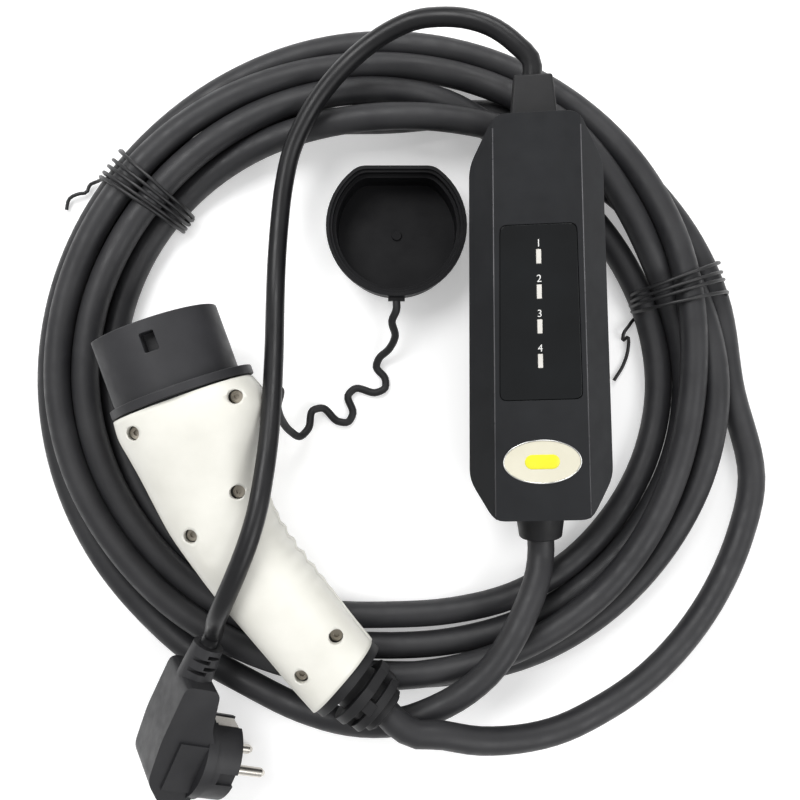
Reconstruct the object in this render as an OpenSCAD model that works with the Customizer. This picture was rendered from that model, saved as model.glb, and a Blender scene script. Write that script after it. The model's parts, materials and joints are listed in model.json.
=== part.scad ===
// Portable EV charger: control box, vehicle connector, dust cap, coiled cable and mains lead.
// Millimetres, +Z up, lying on a table at z = 0 with the open side of the coil upward.

/* [Control box] */
// Length of the control box
box_length = 180; // [176:200]
// Width across the vehicle end
box_width_low = 66; // [62:70]
// Width across the mains end
box_width_top = 58.4; // [54:64]
// Thickness from back to front
box_depth = 46; // [42:52]
// Wall of the two covers
box_wall = 3; // [2.5:3.5]
// Height of the joint between the covers
split_height = 20; // [17:23]
// Thickness of the gasket
gasket_thick = 1.2; // [0.8:1.6]
// Width of the flat front at the vehicle end
front_width_low = 43; // [41:46]
// Width of the flat front at the mains end
front_width_top = 37; // [36:40]

/* [Indicator panel] */
// Length of the window
window_length = 77.5; // [72:82]
// Width of the window at its lower edge
window_width = 37; // [34:40]
// Thickness of the window plate
window_thick = 1.2; // [0.9:1.5]
// Spacing of the four light bars
bar_pitch = 15.3; // [13:16]
// Length of the oval badge
badge_length = 34.7; // [30:37]
// Height of the oval badge
badge_height = 19.8; // [17:22]

/* [Box insides] */
// Length of the main board
board_length = 126; // [116:130]
// Width of the main board
board_width = 40; // [36:42]
// Thickness of the boards
board_thick = 1.6; // [1.2:2]
// Height of the relays
relay_height = 16; // [13:17]

/* [Boots] */
// Length of the mains boot outside the box
input_boot_length = 18; // [14:22]
// Length of the vehicle cable boot outside the box
output_boot_length = 14; // [11:18]
// Radius of the vehicle cable boot at the box
output_boot_radius = 12; // [11:13]

/* [Connector] */
// Radius of the nose
nose_radius = 30; // [29:31]
// Distance from the nose centre to its flat
nose_flat = 25; // [24:26]
// Length of the nose ahead of the flange
nose_length = 31; // [28:34]
// Thickness of the flange
flange_thick = 4; // [3:5]
// Bore of a power contact
power_bore = 6.1; // [6:6.3]
// Bore of a signal contact
signal_bore = 3.1; // [3:3.3]
// Wall of the handle shells
shell_wall = 3; // [2.6:3.4]
// Length of the rear boot outside the handle
rear_boot_length = 26; // [23:30]

/* [Dust cap] */
// Depth of the dust cap
cap_depth = 26; // [22:30]
// Wall of the dust cap
cap_wall = 2.2; // [1.8:2.6]

/* [Mains plug] */
// Radius of the plug front
plug_radius = 19.5; // [19:20.5]
// Diameter of a pin
pin_diameter = 4.8; // [4.7:4.9]
// Length of a pin ahead of the face
pin_length = 19; // [18:20]
// Spacing of the pins
pin_pitch = 19; // [18.5:19.5]

/* [Cords] */
// Diameter of the charging cable
cable_diameter = 13; // [12:13.4]
// Diameter of the mains cord
mains_diameter = 8.8; // [8:9.4]
// Thickness of the cap tether
tether_diameter = 3.8; // [3.2:4]
// Diameter of the tie wire
tie_diameter = 1.8; // [1.5:2]

/* [Clearances] */
// Gap around a piece that sits in a recess
seat_gap = 0.25; // [0.15:0.4]
// Gap around a screw shank
screw_gap = 0.15; // [0.1:0.3]
// Gap around a contact in its carrier
contact_gap = 0.1; // [0.05:0.2]

/* [Hidden] */
$fn = 48;

// Moves the whole layout so that the box, connector and cap are centred on the origin
part_shift = [-1.3, 0, 0];

// Placement of the four lying groups
box_place = [87.4, -45.6, 2.3];
box_roll = -4.5;
box_pitch = 9;
box_yaw = 2.3;
conn_place = [-78.9, 3.2, 47.6];
conn_yaw = 110;
cap_place = [17.3, 85, 0];
plug_place = [-66.2, -169.9, 19.3];
plug_tilt = 31.4;
plug_lift = 6;
plug_yaw = -24.6;
coil_centre = [14, 14];

function rx(p, a) = [p[0], p[1] * cos(a) - p[2] * sin(a), p[1] * sin(a) + p[2] * cos(a)];
function ry(p, a) = [p[0] * cos(a) + p[2] * sin(a), p[1], p[2] * cos(a) - p[0] * sin(a)];
function rz(p, a) = [p[0] * cos(a) - p[1] * sin(a), p[0] * sin(a) + p[1] * cos(a), p[2]];
function box_at(p) = box_place + rz(rx(ry(p, box_roll), box_pitch), box_yaw);
function conn_at(p) = conn_place + rz(p, conn_yaw);
function plug_at(p) = plug_place + rz(rx(ry(p, plug_tilt), plug_lift), plug_yaw);

module at_box() {
  translate(box_place) rotate([0, 0, box_yaw]) rotate([box_pitch, 0, 0]) rotate([0, box_roll, 0]) children();
}
module at_conn() {
  translate(conn_place) rotate([0, 0, conn_yaw]) children();
}
module at_cap() {
  translate(cap_place) children();
}
module at_plug() {
  translate(plug_place) rotate([0, 0, plug_yaw]) rotate([plug_lift, 0, 0]) rotate([0, plug_tilt, 0]) children();
}

// Outlines
function soften(p, t, n) = [
  for (i = [0 : len(p) - 1])
    let (
      q = p[i],
      a = p[(i + len(p) - 1) % len(p)],
      b = p[(i + 1) % len(p)],
      u = q + (a - q) * t / norm(a - q),
      v = q + (b - q) * t / norm(b - q)
    )
    for (k = [0 : n])
      let (s = k / n)
      u * (1 - s) * (1 - s) + q * 2 * s * (1 - s) + v * s * s
];
low_half = box_width_low / 2;
top_half = box_width_top / 2;
function box_half(i) = [
  [low_half - 11 - 0.6 * i, i],
  [low_half - i, 17 + 0.3 * i],
  [top_half - i, box_length - 21 - 0.3 * i],
  [top_half - 11.5 - 0.6 * i, box_length - i]
];
function box_outline(i) = let (h = box_half(i)) soften(
  [h[0], h[1], h[2], h[3], [-h[3][0], h[3][1]], [-h[2][0], h[2][1]], [-h[1][0], h[1][1]], [-h[0][0], h[0][1]]],
  5 - 0.5 * i, 4
);
function oval(a, b) = [for (k = [0 : 47]) [a * cos(k * 7.5), b * sin(k * 7.5)]];
function d_points(r, f, c) = let (
  yc = sqrt((r - c) * (r - c) - (f - c) * (f - c)),
  al = atan2(yc, f - c)
) concat(
  [for (k = [0 : 44]) let (t = al + (360 - 2 * al) * k / 44) [r * cos(t), r * sin(t)]],
  [for (k = [1 : 6]) let (t = -al + al * k / 6) [f - c + c * cos(t), -yc + c * sin(t)]],
  [for (k = [0 : 5]) let (t = al * k / 6) [f - c + c * cos(t), yc + c * sin(t)]]
);

// Tubes: one closed polyhedron along a route
function unit(v) = v / norm(v);
function heading(p, i) = unit(p[min(i + 1, len(p) - 1)] - p[max(i - 1, 0)]);
function tube_points(p, r, n, ref) = [
  for (i = [0 : len(p) - 1])
    let (t = heading(p, i), a = unit(cross(t, ref)), b = cross(a, t))
    for (k = [0 : n - 1])
      p[i] + r * cos(360 * k / n) * a + r * sin(360 * k / n) * b
];
module tube(p, d, n, ref = [0, 0, 1]) {
  m = len(p);
  polyhedron(
    points = tube_points(p, d / 2, n, ref),
    faces = concat(
      [[for (k = [0 : n - 1]) k]],
      [[for (k = [0 : n - 1]) (m - 1) * n + n - 1 - k]],
      [for (i = [0 : m - 2]) for (k = [0 : n - 1])
        [i * n + k, (i + 1) * n + k, (i + 1) * n + (k + 1) % n]],
      [for (i = [0 : m - 2]) for (k = [0 : n - 1])
        [i * n + k, (i + 1) * n + (k + 1) % n, i * n + (k + 1) % n]]
    ),
    convexity = 8
  );
}

// Control box
axis_z = 23;
front_z = split_height + gasket_thick;
post_low = [21, 20];
post_top = [17, box_length - 22];
board_z = 12;
board_top = board_z + board_thick;
board_start = 25;
panel_board_z = 33;
window_start = 55.5;
panel_screws = [window_start + 6, window_start + 77];
bar_first = window_start + 17.6;
badge_y = 27.5;

module front_facets(i) {
  for (s = [0, 1])
    mirror([s, 0, 0])
      translate([front_width_low / 2 - 0.41 * i, 0, box_depth - i])
        rotate([0, 0, atan2((front_width_low - front_width_top) / 2, box_length)])
          rotate([0, 45, 0])
            translate([0, -40, 0]) cube([60, box_length + 80, 60]);
}
module box_body(i, z0, z1) {
  difference() {
    translate([0, 0, z0]) linear_extrude(z1 - z0) polygon(box_outline(i));
    front_facets(i);
  }
}
module boot_openings() {
  translate([-7.7, box_length - 20, axis_z - 6.7]) cube([15.4, 40, 13.4]);
  translate([0, 20, axis_z]) rotate([90, 0, 0]) cylinder(r = 8.7, h = 40);
}
module posts(z0, z1, r) {
  for (s = [-1, 1]) {
    translate([s * post_low[0], post_low[1], z0]) cylinder(r = r, h = z1 - z0);
    translate([s * post_top[0], post_top[1], z0]) cylinder(r = r, h = z1 - z0);
  }
}
function window_outline(i) = soften([
  [-window_width / 2 + i, window_start + i],
  [window_width / 2 - i, window_start + i],
  [window_width / 2 - 1.8 - i, window_start + window_length - i],
  [-window_width / 2 + 1.8 + i, window_start + window_length - i]
], 3.4, 4);
module bars(grow, z0, z1) {
  for (k = [0 : 3])
    translate([-1.1 - grow, bar_first + k * bar_pitch - 3.1 - grow, z0])
      cube([2.2 + 2 * grow, 6.2 + 2 * grow, z1 - z0]);
}
module front_cover() {
  color("#2a2b2d") at_box() difference() {
    union() {
      difference() {
        box_body(0, front_z, box_depth);
        box_body(box_wall, front_z - 1, box_depth - box_wall);
      }
      intersection() {
        posts(front_z, box_depth - 1, 4);
        box_body(1, front_z, box_depth);
      }
      for (y = panel_screws)
        translate([0, y, panel_board_z + board_thick])
          cylinder(r = 2.6, h = box_depth - 1 - panel_board_z - board_thick);
    }
    boot_openings();
    posts(front_z - 1, front_z + 11, 1.5 + screw_gap);
    for (y = panel_screws)
      translate([0, y, panel_board_z]) cylinder(r = 1 + screw_gap, h = 6);
    translate([0, 0, box_depth - window_thick - 0.2])
      linear_extrude(4) polygon(window_outline(0));
    bars(0.2, box_depth - box_wall - 2, box_depth);
    translate([0, badge_y, box_depth - 0.8])
      linear_extrude(4) polygon(oval(badge_length / 2 + seat_gap, badge_height / 2 + seat_gap));
  }
}
module rear_cover() {
  color("#242527") at_box() difference() {
    union() {
      difference() {
        linear_extrude(split_height) polygon(box_outline(0));
        translate([0, 0, box_wall]) linear_extrude(split_height) polygon(box_outline(box_wall));
      }
      posts(1, split_height, 4);
      board_posts(1, board_z, 3);
    }
    boot_openings();
    posts(-1, split_height + 1, 1.5 + screw_gap);
    posts(-1, 3, 3 + screw_gap);
    board_posts(5, board_z + 1, 1.2 + screw_gap);
  }
}
module board_posts(z0, z1, r) {
  for (s = [-1, 1]) {
    translate([s * 15, board_start + 6, z0]) cylinder(r = r, h = z1 - z0);
    translate([s * 15, board_start + board_length - 6, z0]) cylinder(r = r, h = z1 - z0);
  }
}
module cover_gasket() {
  color("#111111") at_box() difference() {
    translate([0, 0, split_height]) linear_extrude(gasket_thick) difference() {
      polygon(box_outline(0.6));
      polygon(box_outline(box_wall - 0.2));
    }
    boot_openings();
  }
}
module cover_screws() {
  color("#9a9c9e") at_box() {
    posts(3, front_z + 10, 1.5);
    difference() {
      posts(0.4, 3, 3);
      posts(0, 1.8, 1.3);
    }
  }
}
module indicator_window() {
  color("#0b0b0c") at_box() difference() {
    translate([0, 0, box_depth - window_thick - 0.2])
      linear_extrude(window_thick) polygon(window_outline(seat_gap));
    bars(0.15, 0, box_depth + 1);
  }
}
module light_pipes() {
  color("#f2f1ec") at_box() bars(0, panel_board_z + board_thick + 1.2, box_depth - 0.2);
}
module indicator_lamps() {
  color("#e8e2b0") at_box()
    for (k = [0 : 3])
      translate([-1, bar_first + k * bar_pitch - 1.5, panel_board_z + board_thick]) cube([2, 3, 1.2]);
}
module indicator_board() {
  color("#1f5a35") at_box() difference() {
    translate([-9, window_start, panel_board_z]) cube([18, 82, board_thick]);
    for (y = panel_screws)
      translate([0, y, panel_board_z - 1]) cylinder(r = 1 + screw_gap, h = 6);
  }
}
module badge_plate() {
  color("#f0efe8") at_box()
    translate([0, badge_y, box_depth - 0.8])
      linear_extrude(1.1) polygon(oval(badge_length / 2, badge_height / 2));
}
module main_board() {
  color("#1f5a35") at_box() difference() {
    translate([-board_width / 2, board_start, board_z]) cube([board_width, board_length, board_thick]);
    board_posts(board_z - 1, board_top + 1, 1.2 + screw_gap);
  }
}
module board_screws() {
  color("#b9babb") at_box() {
    board_posts(6, board_top, 1.2);
    board_posts(board_top, board_top + 1.8, 2.4);
    for (y = panel_screws) {
      translate([0, y, panel_board_z - 1.6]) cylinder(r = 2, h = 1.6);
      translate([0, y, panel_board_z]) cylinder(r = 1, h = 5);
    }
  }
}
module power_relays() {
  color("#1c3f78") at_box()
    for (x = [-17, 1.5])
      translate([x, board_start + 54, board_top]) cube([15.5, 30, relay_height]);
}
module current_sensor() {
  color("#d9a521") at_box() difference() {
    union() {
      translate([0, board_start + 34, axis_z]) rotate([90, 0, 0]) cylinder(r = 9, h = 9);
      translate([-7, board_start + 25, board_top]) cube([14, 9, 5]);
    }
    translate([0, board_start + 35, axis_z]) rotate([90, 0, 0]) cylinder(r = 5.2, h = 11);
  }
}
module power_supply() {
  color("#d8d6cc") at_box() translate([-13, board_start + 87, board_top]) cube([26, 21, 17]);
}
module input_terminal() {
  color("#2f8f4e") at_box() translate([-12, board_start + 109.5, board_top]) cube([24, 8.5, 16]);
}
module output_terminal() {
  color("#2f8f4e") at_box() translate([-12, board_start + 38, board_top]) cube([24, 12, 16]);
}
module core_set(y0, y1, r) {
  for (a = [90, 210, 330])
    translate([2.6 * cos(a), y1, axis_z + 2.6 * sin(a)]) rotate([90, 0, 0])
      cylinder(r = r, h = y1 - y0, $fn = 24);
}
module input_cores() {
  color("#7a4a2a") at_box() core_set(board_start + 118, box_length - box_wall - 2.6, 1.9);
}
module output_cores() {
  color("#7a4a2a") at_box() core_set(box_wall + 2.6, board_start + 38, 1.9);
}
module input_boot() {
  a = box_length;
  b = box_length + input_boot_length;
  color("#1b1b1c") at_box() {
    translate([-7.5, box_length - box_wall - 0.1, axis_z - 6.5]) cube([15, box_wall + 0.2, 13]);
    translate([-10, box_length - box_wall - 2.6, axis_z - 8.5]) cube([20, 2.5, 17]);
    polyhedron(
      points = [
        [-10.2, a, axis_z - 9], [10.2, a, axis_z - 9], [10.2, a, axis_z + 9], [-10.2, a, axis_z + 9],
        [-8.4, b, axis_z - 7.4], [8.4, b, axis_z - 7.4], [8.4, b, axis_z + 7.4], [-8.4, b, axis_z + 7.4]
      ],
      faces = [[3, 2, 1, 0], [4, 5, 6, 7], [0, 1, 5, 4], [1, 2, 6, 5], [2, 3, 7, 6], [3, 0, 4, 7]]
    );
  }
}
module output_boot() {
  color("#1b1b1c") at_box() translate([0, 0, axis_z]) rotate([90, 0, 0]) {
    cylinder(r1 = output_boot_radius, r2 = output_boot_radius - 1.8, h = output_boot_length);
    translate([0, 0, -box_wall - 0.1]) cylinder(r = 8.5, h = box_wall + 0.2);
    translate([0, 0, -box_wall - 2.6]) cylinder(r = 11, h = 2.5);
  }
}

// Vehicle connector: x forward, y to the flat, z to the side
nose_front = flange_thick + nose_length;
power_spots = [[0, 0], [0, 17], [0, -17]];
signal_spots = [[13, 7.6], [13, -7.6]];
spare_spots = [[-14.7, 8.5], [-14.7, -8.5]];
power_outer = power_bore / 2 + 1.15;
signal_outer = signal_bore / 2 + 1.15;
nose_shift = 2.5;

module along(x) {
  translate([x, nose_shift, 0]) rotate([90, 0, 90]) children();
}
module d_block(r, f, c, x0, x1) {
  along(x0) linear_extrude(x1 - x0) polygon(d_points(r, f, c));
}
module spots(list, r, x0, x1) {
  for (p = list)
    along(x0) translate([p[0], p[1], 0]) cylinder(r = r, h = x1 - x0);
}
module lock_window(z0) {
  translate([nose_front - 14, -3, z0]) cube([8.4, 6, 20]);
}
module connector_nose() {
  color("#202122") at_conn() difference() {
    union() {
      d_block(nose_radius, nose_flat, 9, flange_thick - 1, nose_front);
      along(0) linear_extrude(flange_thick) translate([-nose_shift, 0]) polygon(d_points(33.2, 31.5, 12));
      d_block(nose_radius - 5, nose_flat - 5, 7, -4, 1);
    }
    d_block(nose_radius - 2.8, nose_flat - 2.8, 7, flange_thick + 3, nose_front + 1);
    d_block(nose_radius - 8, nose_flat - 8, 5, -10, -1);
    spots(power_spots, power_outer + contact_gap, -2, flange_thick + 4);
    spots(signal_spots, signal_outer + contact_gap, -2, flange_thick + 4);
    lock_window(nose_radius - 6);
  }
}
module nose_seal() {
  color("#3a3a3a") at_conn() along(-1) linear_extrude(1) difference() {
    translate([-nose_shift, 0]) polygon(d_points(31, 29.6, 11));
    polygon(d_points(nose_radius - 5 + seat_gap, nose_flat - 5 + seat_gap, 7));
  }
}
module contact_carrier() {
  color("#303133") at_conn() difference() {
    d_block(nose_radius - 3, nose_flat - 3, 7, flange_thick + 3, nose_front - 2);
    spots(power_spots, power_outer + contact_gap, 0, nose_front);
    spots(signal_spots, signal_outer + contact_gap, 0, nose_front);
    spots(spare_spots, power_bore / 2 + 0.4, nose_front - 22, nose_front);
    lock_window(nose_radius - 7);
  }
}
module contact_set(list, outer, bore, x0, x1) {
  difference() {
    spots(list, outer, x0, x1);
    spots(list, bore / 2, x1 - 20, x1 + 1);
  }
}
module power_contacts() {
  color("#c9a85a") at_conn() contact_set(power_spots, power_outer, power_bore, -4, nose_front - 4);
}
module signal_contacts() {
  color("#c9a85a") at_conn() contact_set(signal_spots, signal_outer, signal_bore, -4, nose_front - 5);
}

// Handle: stations of [x, y, droop, half width, half thickness]
stations = [
  [-1, 0, 0, 32, 31], [-8, -1, 1, 33.5, 31.5], [-16, -2, 2, 33.2, 31], [-26, -1, 4, 30.5, 29.5],
  [-38, 1, 6, 27, 27.5], [-52, 2, 10, 24, 25.5], [-68, 0, 14, 21.8, 24], [-84, -4, 18, 21, 23],
  [-100, -9.5, 22, 20.7, 22.2], [-115, -14.8, 26, 20.6, 21.4], [-130, -19.8, 28, 20.4, 20.8],
  [-142.8, -24.6, 29, 20.2, 20.4]
];
arc_n = 12;
function sq(v, e) = sign(v) * pow(abs(v), e);
function half_ring(s, i, side) = [
  for (k = [0 : arc_n])
    let (t = 180 * k / arc_n, u = (s[3] - i) * sq(cos(t), 0.78), w = (s[4] - i) * sq(sin(t), 0.78))
    [s[0] - sin(s[2]) * u, s[1] + cos(s[2]) * u, side * (k == 0 || k == arc_n ? 0 : w)]
];
module half_shell(side) {
  m = len(stations);
  n = arc_n + 1;
  c = m * n;
  pts = concat(
    [for (s = stations) each half_ring(s, 0, side)],
    [for (s = stations) each half_ring(s, shell_wall, side)]
  );
  quads = concat(
    [for (i = [0 : m - 2]) for (k = [0 : arc_n - 1])
      [i * n + k, i * n + k + 1, (i + 1) * n + k + 1, (i + 1) * n + k]],
    [for (i = [0 : m - 2]) for (k = [0 : arc_n - 1])
      [c + i * n + k, c + (i + 1) * n + k, c + (i + 1) * n + k + 1, c + i * n + k + 1]],
    [for (i = [0 : m - 2]) [i * n, (i + 1) * n, c + (i + 1) * n, c + i * n]],
    [for (i = [0 : m - 2])
      [i * n + arc_n, c + i * n + arc_n, c + (i + 1) * n + arc_n, (i + 1) * n + arc_n]],
    [for (k = [0 : arc_n - 1]) [k, c + k, c + k + 1, k + 1]],
    [for (k = [0 : arc_n - 1])
      let (q = (m - 1) * n + k)
      [q, q + 1, c + q + 1, c + q]]
  );
  tris = [for (q = quads) each [[q[0], q[1], q[2]], [q[0], q[2], q[3]]]];
  polyhedron(
    points = pts,
    faces = side > 0 ? tris : [for (f = tris) [f[2], f[1], f[0]]],
    convexity = 8
  );
}
// Screws of [x, y, seat height]
screw_spots = [
  [-9, 20.5, 18], [-9, -25.5, 17], [-59, 13.5, 14], [-48, -12, 15], [-133, -10, 11], [-122, -30, 11]
];
module screw_columns(r, z0, dz) {
  for (p = screw_spots)
    translate([p[0], p[1], z0]) cylinder(r = r, h = p[2] + dz - z0, $fn = 24);
}
clamp_spot = [-104, -11];
clamp_droop = 23;
module at_clamp() {
  translate([clamp_spot[0], clamp_spot[1], 0]) rotate([0, 0, clamp_droop]) children();
}
module upper_shell() {
  color("#f1f0ec") at_conn() difference() {
    union() {
      half_shell(1);
      screw_columns(4.4, 0, 1.5);
    }
    screw_columns(1.5 + screw_gap, -1, 3);
    for (p = screw_spots)
      translate([p[0], p[1], p[2]]) cylinder(r = 3.1, h = 30, $fn = 24);
  }
}
module lower_shell() {
  color("#eceae5") at_conn() difference() {
    union() {
      half_shell(-1);
      mirror([0, 0, 1]) screw_columns(4.4, 0, 2);
      at_clamp() for (s = [-1, 1])
        translate([0, s * 11, -16]) cylinder(r = 3.4, h = 10, $fn = 24);
    }
    for (p = screw_spots)
      translate([p[0], p[1], -9]) cylinder(r = 1.5 + screw_gap, h = 10, $fn = 24);
    at_clamp() for (s = [-1, 1])
      translate([0, s * 11, -12]) cylinder(r = 1.2 + screw_gap, h = 8, $fn = 24);
  }
}
module shell_screws() {
  color("#a9a7a0") at_conn() difference() {
    for (p = screw_spots) {
      translate([p[0], p[1], -8]) cylinder(r = 1.5, h = p[2] + 8, $fn = 24);
      translate([p[0], p[1], p[2]]) cylinder(r = 2.75, h = 3, $fn = 24);
    }
    for (p = screw_spots)
      translate([p[0], p[1], p[2] + 1.4]) cylinder(r = 1.3, h = 3, $fn = 6);
  }
}
module cable_clamp() {
  color("#3c3d3f") at_conn() at_clamp() difference() {
    translate([-4, -14.5, -6]) cube([8, 29, 14]);
    translate([-5, -7.2, -7]) cube([10, 14.4, 11.5]);
    for (s = [-1, 1])
      translate([0, s * 11, -7]) cylinder(r = 1.2 + screw_gap, h = 20, $fn = 24);
  }
}
module clamp_screws() {
  color("#b0b1b2") at_conn() at_clamp() for (s = [-1, 1]) {
    translate([0, s * 11, -11]) cylinder(r = 1.2, h = 19, $fn = 24);
    translate([0, s * 11, 8]) cylinder(r = 2.3, h = 1.8, $fn = 24);
  }
}
// Inner cores: from each contact to the inner face of the boot
module connector_cores() {
  color("#7a4a2a") at_conn() for (p = power_spots)
    let (side = sign(p[1]))
      tube([
        [-4, nose_shift + p[0], p[1]], [-8, nose_shift + p[0], p[1]], [-20, nose_shift + p[0], p[1] * 0.9],
        [-60, 2, side * 4.3], [-104, -10.6, side * 2.4 - 0.2],
        [-127, -18, side * 4.4], [-134, -19.7, side * 4.4]
      ], 2.2, 8);
}
tail = stations[len(stations) - 1];
module at_tail() {
  translate([tail[0], tail[1], 0]) rotate([0, 0, 180 + tail[2]]) rotate([0, 90, 0]) children();
}
module connector_boot() {
  h = rear_boot_length;
  color("#1c1c1d") at_conn() at_tail() difference() {
    union() {
      translate([0, 0, -9.5]) cylinder(r = 15.4, h = 10);
      cylinder(r = 19.8, h = 4.5);
      translate([0, 0, 4]) cylinder(r = 11, h = h - 5);
      translate([0, 0, 9.5]) cylinder(r = 16.5, h = 4.5);
      translate([0, 0, 17.5]) cylinder(r = 14.5, h = 4);
      translate([0, 0, h - 3]) cylinder(r = 9.5, h = 3);
      translate([-15, -3, 12]) cube([30, 6, 7]);
      translate([-3, -15, 12]) cube([6, 30, 7]);
    }
    for (s = [-1, 1])
      rotate([0, 0, 45]) translate([-25, s * 21.5 - 6, 9]) cube([50, 12, 14]);
  }
}

// Dust cap, open side up
cap_r = nose_radius + 0.6;
cap_f = nose_flat + 0.6;
module cap_profile(grow) {
  rotate([0, 0, 90]) polygon(d_points(cap_r + grow, cap_f + grow, 10));
}
module dust_cap() {
  color("#1d1d1e") at_cap() difference() {
    union() {
      linear_extrude(cap_depth - 5) cap_profile(cap_wall - 0.6);
      translate([0, 0, cap_depth - 6]) linear_extrude(6) cap_profile(cap_wall + 0.8);
      translate([-4, -cap_r - 5, cap_depth - 6]) cube([8, 6, 4]);
    }
    translate([0, 0, cap_wall]) linear_extrude(cap_depth) cap_profile(-1.6);
    translate([0, 0, cap_depth - 6]) linear_extrude(8) cap_profile(0);
    translate([0, 0, cap_depth - 1.6]) linear_extrude(4) cap_profile(1.3);
  }
  color("#1d1d1e") at_cap() translate([0, -1, cap_wall - 0.5]) cylinder(r = 2.4, h = 1.6);
}
lug_z = cap_depth - 4;
tether_route = [
  [cap_place[0], cap_place[1] - cap_r - 5, lug_z], [cap_place[0], cap_place[1] - cap_r - 9, lug_z],
  [15.2, 40.5, 19.5], [16.6, 33, 13], [13.5, 27, 8.5], [8.5, 22.5, 5], [7.2, 18.5, 3], [11.6, 12.5, 2.1],
  [11.5, 8, 2.1], [7.5, 5.8, 2.1], [-4, 7.4, 2.1], [-6.8, 4.6, 2.1], [-4.6, -5, 2.1], [-7, -9, 2.1],
  [-11.5, -8.8, 2.5], [-20, -2, 4], [-24, -3, 5.2], [-26.2, -12, 8], [-29.8, -15.8, 11], [-34.2, -13, 17],
  [-37.2, -7.5, 26], [-38, -1.5, 36], conn_at([-11, -41, -0.5]), conn_at([-11, -35.3, 0])
];
module cap_tether() {
  color("#262627") tube(tether_route, tether_diameter, 8);
}

// Charging cable: the coil's outer shape and its two loose ends
cr = cable_diameter / 2;
lobes_low = [124, 138, 152, 166];
lobes_high = [141, 154];
high_z = cr + 11;
tie_angles = [143, 16];
conn_join = [190.5, -20, cr];
conn_merge = [179, 38, cr];
box_join = [-25, -149.5, 20.8];
box_merge = [-86, -119, 9];
module rod(a, b, d) {
  v = b - a;
  translate(a) rotate([0, acos(v[2] / norm(v)), atan2(v[1], v[0])]) cylinder(d = d, h = norm(v), $fn = 32);
}
module cable_coil() {
  color("#1f2021") difference() {
    union() {
      translate([coil_centre[0], coil_centre[1], 0]) {
        for (r = lobes_low)
          rotate_extrude($fn = 96) translate([r, cr]) circle(r = cr, $fn = 32);
        for (r = lobes_high)
          rotate_extrude($fn = 96) translate([r, high_z]) circle(r = cr, $fn = 32);
        rotate_extrude($fn = 96) polygon([
          [lobes_low[0], cr - 3], [lobes_low[3], cr - 3], [lobes_low[3], cr + 3],
          [lobes_high[1] + 2, high_z + 2], [lobes_high[0] - 2, high_z + 2], [lobes_low[0], cr + 3]
        ]);
      }
      rod(conn_join, conn_merge, cable_diameter);
      rod(box_join, box_merge, cable_diameter);
    }
    for (a = tie_angles)
      translate([coil_centre[0], coil_centre[1], 0]) rotate([0, 0, a])
        translate([100, -14, -1]) cube([90, 28, 1 + tie_diameter + 0.4]);
  }
}
conn_axis_end = conn_at([tail[0], tail[1], 0] + rear_boot_length * [-cos(tail[2]), -sin(tail[2]), 0]);
conn_axis_out = conn_at([tail[0], tail[1], 0] + (rear_boot_length + 14) * [-cos(tail[2]), -sin(tail[2]), 0]);
box_tail_route = [
  box_at([0, -output_boot_length, axis_z]), box_at([0, -output_boot_length - 9, axis_z]), [84.4, -83, 25.5],
  [79.5, -95, 28.8], [71.5, -110.5, 31.5], [61.5, -125, 31.8], [49.5, -136, 31.6], [35.5, -144.5, 30.8],
  [17, -152.5, 29.8],
  [-4, -154, 26.5], box_join + unit(box_join - box_merge) * 8, box_join
];
connector_tail_route = [
  conn_axis_end, conn_axis_out, [38, -154.5, 46], [52, -158, 43], [66, -159, 39], [94, -154.5, 31],
  [114.5, -146, 26], [133, -135, 22], [155, -115.5, 17], [174, -90, 12.5], [186, -64, 9], [191.5, -42, 7],
  conn_join - unit(conn_merge - conn_join) * 8, conn_join
];
module cable_box_tail() {
  color("#1f2021") tube(box_tail_route, cable_diameter, 12);
}
module cable_connector_tail() {
  color("#1f2021") tube(connector_tail_route, cable_diameter, 12);
}

// Mains lead
plug_exit = [-32, 55, 0];
mains_route = [
  box_at([0, box_length + input_boot_length, axis_z]), box_at([0, box_length + input_boot_length + 6, axis_z]),
  [70.5, 160, 57.5], [60.5, 167.5, 57], [49, 172, 55.5], [37, 174, 52.5], [25.5, 174, 48.5], [14.5, 170.5, 45],
  [3, 164, 41.5], [-8, 155, 38.5], [-17, 145.5, 35.5], [-25.5, 133, 33], [-32, 119.5, 30.5], [-36, 102.5, 29],
  [-38, 85, 29], [-39, 66.5, 31.5], [-39, 48.5, 36.5], [-38, 25, 48.5], [-37.6, 2, 60], [-38, -14.5, 67],
  [-39.5, -31, 73], [-41.5, -44, 76], [-45, -57, 77.5], [-51, -72.5, 76.5], [-57, -85.5, 72.5],
  [-60.8, -93.2, 66], [-63, -97.8, 57.5], [-65, -102, 49],
  plug_at(plug_exit + [0, 5, 0]), plug_at(plug_exit)
];
module mains_cord() {
  color("#161617") tube(mains_route, mains_diameter, 12);
}

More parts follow.
